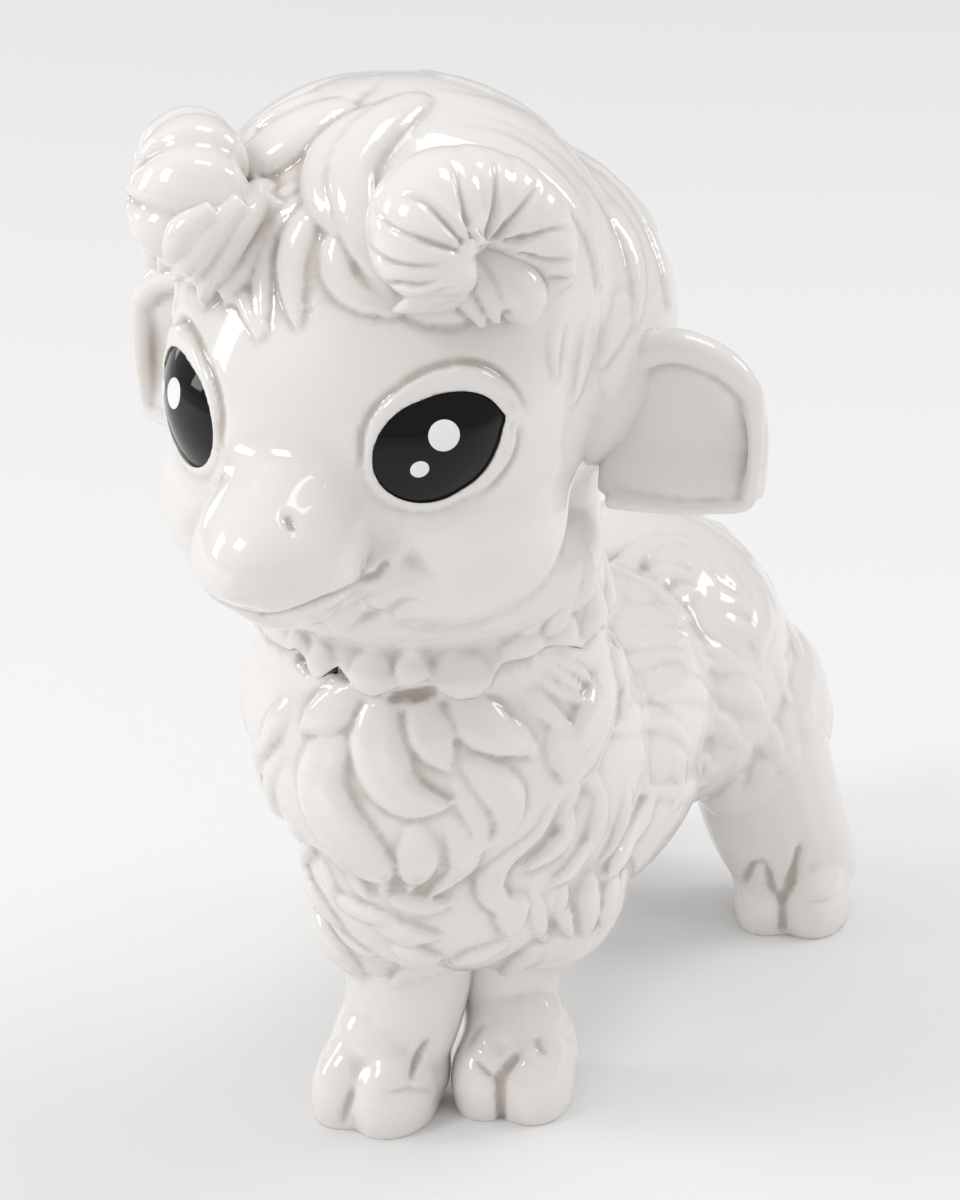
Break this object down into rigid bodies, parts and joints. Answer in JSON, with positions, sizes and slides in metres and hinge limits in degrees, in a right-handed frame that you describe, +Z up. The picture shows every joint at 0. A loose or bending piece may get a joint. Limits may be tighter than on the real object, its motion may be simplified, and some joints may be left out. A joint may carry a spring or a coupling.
{
  "type": "goat figurine",
  "caption": "White glazed ceramic goat kid figurine with curled horns and black eyes; the head lifts off the hollow body as a lid.",
  "frame": {"origin": "on the ground under the middle of the goat's bounding box", "axes": "+Z up, -Y the way the goat faces, +X the goat's left side"},
  "size_m": [0.1644, 0.2909, 0.2737],
  "materials": {
    "white_glaze": "high gloss white glaze over cast earthenware",
    "black_glaze": "high gloss black glaze",
    "white_enamel": "gloss white enamel dot"
  },
  "bodies": {
    "jar": {"body": "white_glaze", "front_left_leg": "white_glaze", "front_right_leg": "white_glaze", "hind_left_leg": "white_glaze", "hind_right_leg": "white_glaze", "tail": "white_glaze"},
    "lid": {"head": "white_glaze", "ear_left": "white_glaze", "ear_right": "white_glaze", "horn_left": "white_glaze", "horn_right": "white_glaze", "eye_left": "black_glaze", "eye_right": "black_glaze", "eye_left_large_glint": "white_enamel", "eye_left_small_glint": "white_enamel", "eye_right_large_glint": "white_enamel", "eye_right_small_glint": "white_enamel"}
  },
  "joints": [
    {"name": "head_lift", "type": "slide", "parent": "jar", "child": "lid", "axis": [0, 0, 1], "range_m": [0, 0.08]}
  ]
}
